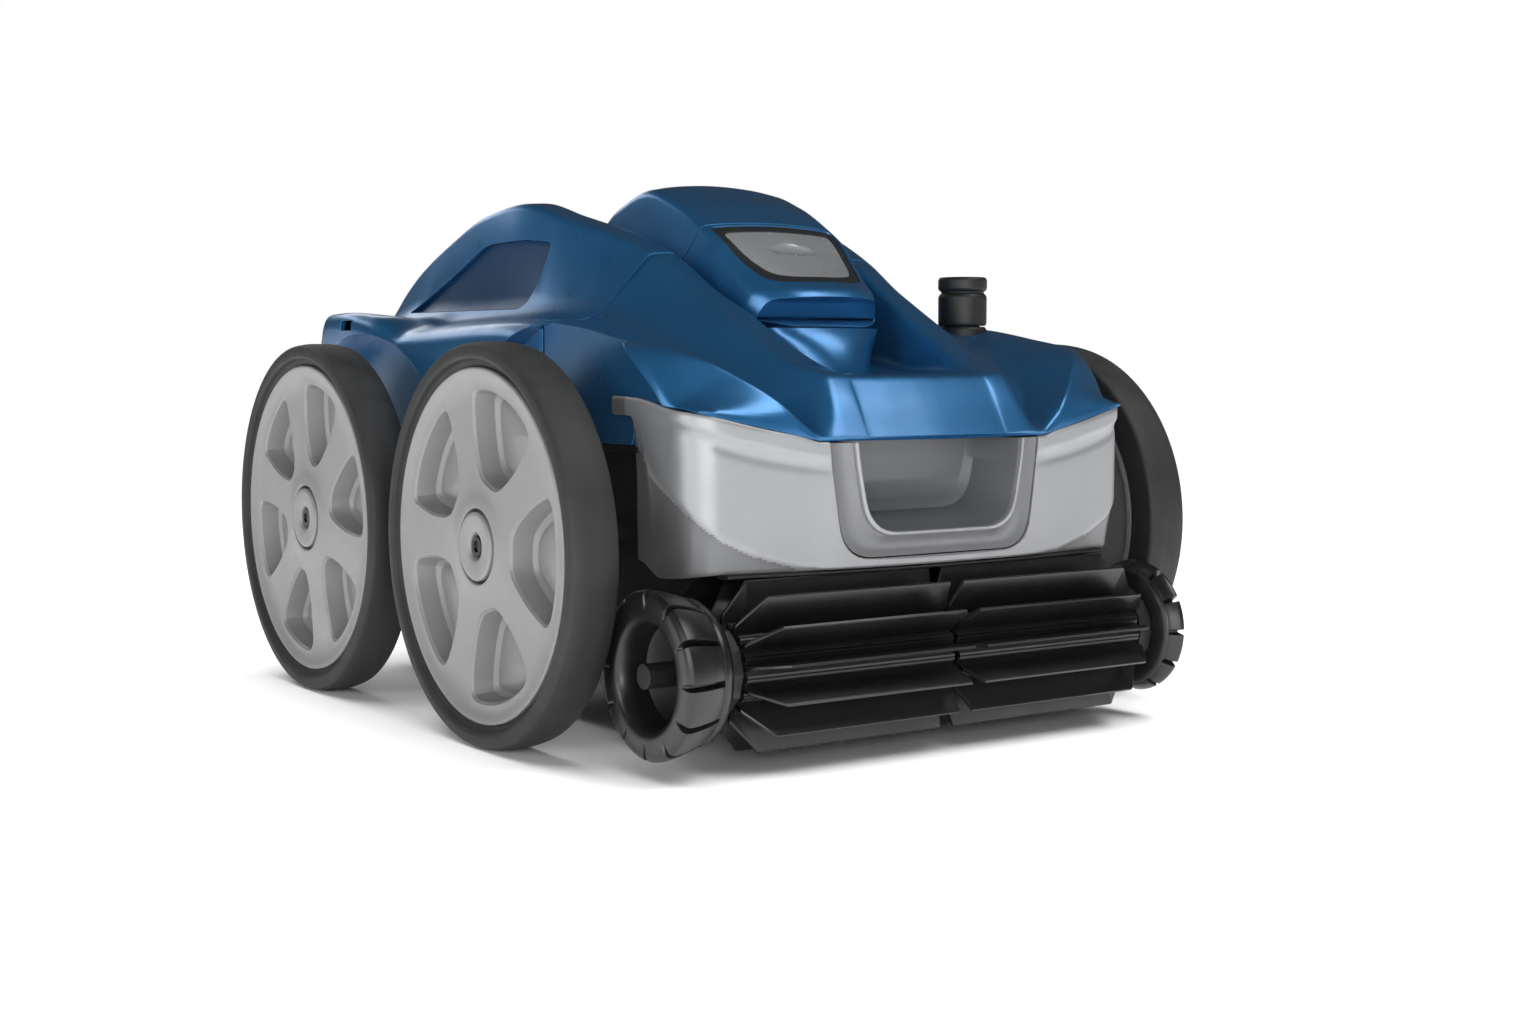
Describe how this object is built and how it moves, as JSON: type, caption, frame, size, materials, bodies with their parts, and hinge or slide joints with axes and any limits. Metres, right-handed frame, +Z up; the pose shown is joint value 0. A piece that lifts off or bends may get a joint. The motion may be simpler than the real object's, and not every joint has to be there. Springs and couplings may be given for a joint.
{
  "type": "pool cleaner",
  "caption": "Blue and silver four-wheeled pool cleaner robot with a front scrubbing brush, hinged top lid, debris canister and hose inlet",
  "frame": {"origin": "on the floor under the middle of the overall box", "axes": "+X to the cleaner's hose-inlet side, +Y towards the tail, +Z up; the brush is at -Y"},
  "size_m": [0.3928, 0.4694, 0.29],
  "materials": {
    "body_blue": "satin metallic blue moulding, clear topcoat",
    "deep_blue": "darker blue louvred insert",
    "silver_plastic": "satin silver paint on a moulded bumper",
    "rim_grey": "satin grey moulded plastic",
    "tyre_rubber": "matt moulded rubber",
    "belt_rubber": "matt toothless flat belt",
    "black_vinyl": "glossy soft black vinyl",
    "black_plastic": "fine-grained black moulding",
    "window_grey": "pale grey moulded push plate",
    "steel": "plain bright stainless steel",
    "canister_grey": "grey moulded plastic",
    "screen_mesh": "dark woven screen on a frame",
    "foam": "closed-cell foam"
  },
  "bodies": {
    "chassis": {"front_left_bush": "steel", "front_right_bush": "steel", "rear_left_bush": "steel", "rear_right_bush": "steel", "drive_belt": "belt_rubber", "brush_belt": "belt_rubber", "brush_belt_case": "black_plastic", "left_brush_arm": "black_plastic", "turbine_housing": "black_plastic", "inlet_socket": "black_plastic", "feed_pipe": "black_vinyl", "chassis_tub": "black_plastic", "front_cowl": "body_blue", "rear_cowl": "body_blue", "lid_hinge_pin": "steel", "left_fin_vent": "deep_blue", "right_fin_vent": "deep_blue", "debris_canister": "canister_grey", "filter_screen": "screen_mesh", "suction_throat": "black_plastic", "foam_float": "foam", "thrust_jet": "black_plastic", "front_bumper": "silver_plastic"},
    "front_wheelset": {"front_axle": "steel", "front_drive_pulley": "black_vinyl", "brush_drive_pulley": "black_vinyl", "turbine_gear": "canister_grey", "front_left_rim": "rim_grey", "front_left_tyre": "tyre_rubber", "front_left_hub_cap": "rim_grey", "front_left_screw": "steel", "front_right_rim": "rim_grey", "front_right_tyre": "tyre_rubber", "front_right_hub_cap": "rim_grey", "front_right_screw": "steel"},
    "rear_wheelset": {"rear_axle": "steel", "rear_drive_pulley": "black_vinyl", "rear_left_rim": "rim_grey", "rear_left_tyre": "tyre_rubber", "rear_left_hub_cap": "rim_grey", "rear_left_screw": "steel", "rear_right_rim": "rim_grey", "rear_right_tyre": "tyre_rubber", "rear_right_hub_cap": "rim_grey", "rear_right_screw": "steel"},
    "brush_roller": {"brush_shaft": "black_plastic", "right_brush": "black_vinyl", "left_brush": "black_vinyl", "right_lug_wheel": "black_vinyl", "left_lug_wheel": "black_vinyl", "brush_pulley": "black_vinyl"},
    "turbine": {"turbine_rotor": "canister_grey"},
    "lid": {"lid_shell": "body_blue", "lid_nose": "body_blue", "lid_bezel": "black_plastic", "release_spring": "steel"},
    "release": {"release_button": "window_grey"},
    "hose_swivel": {"swivel_sleeve": "black_plastic"}
  },
  "joints": [
    {"name": "front_wheels", "type": "hinge", "parent": "chassis", "child": "front_wheelset", "pos_m": [0, -0.0818, 0.1], "axis": [1, 0, 0], "continuous": true},
    {"name": "rear_wheels", "type": "hinge", "parent": "chassis", "child": "rear_wheelset", "pos_m": [0, 0.1348, 0.1], "axis": [1, 0, 0], "continuous": true},
    {"name": "brush_spin", "type": "hinge", "parent": "chassis", "child": "brush_roller", "pos_m": [0, -0.1938, 0.048], "axis": [1, 0, 0], "continuous": true},
    {"name": "turbine_spin", "type": "hinge", "parent": "chassis", "child": "turbine", "pos_m": [0.07, -0.04023, 0.076], "axis": [1, 0, 0], "continuous": true},
    {"name": "lid_hinge", "type": "hinge", "parent": "chassis", "child": "lid", "pos_m": [0, 0.0752, 0.244], "axis": [-1, 0, 0], "range_deg": [0, 70]},
    {"name": "release_press", "type": "slide", "parent": "lid", "child": "release", "axis": [0, 0, -1], "range_m": [0, 0.003], "stiffness_N_per_m": 600, "springref_m": -0.001, "deforming": ["release_spring"]},
    {"name": "hose_swivel_turn", "type": "hinge", "parent": "chassis", "child": "hose_swivel", "pos_m": [0.12, -0.0778, 0.22], "axis": [0, 0, 1], "continuous": true}
  ],
  "couplings": [
    {"joint": "rear_wheels", "follows": "front_wheels", "ratio": 1},
    {"joint": "brush_spin", "follows": "front_wheels", "ratio": 1},
    {"joint": "turbine_spin", "follows": "front_wheels", "ratio": -3}
  ]
}
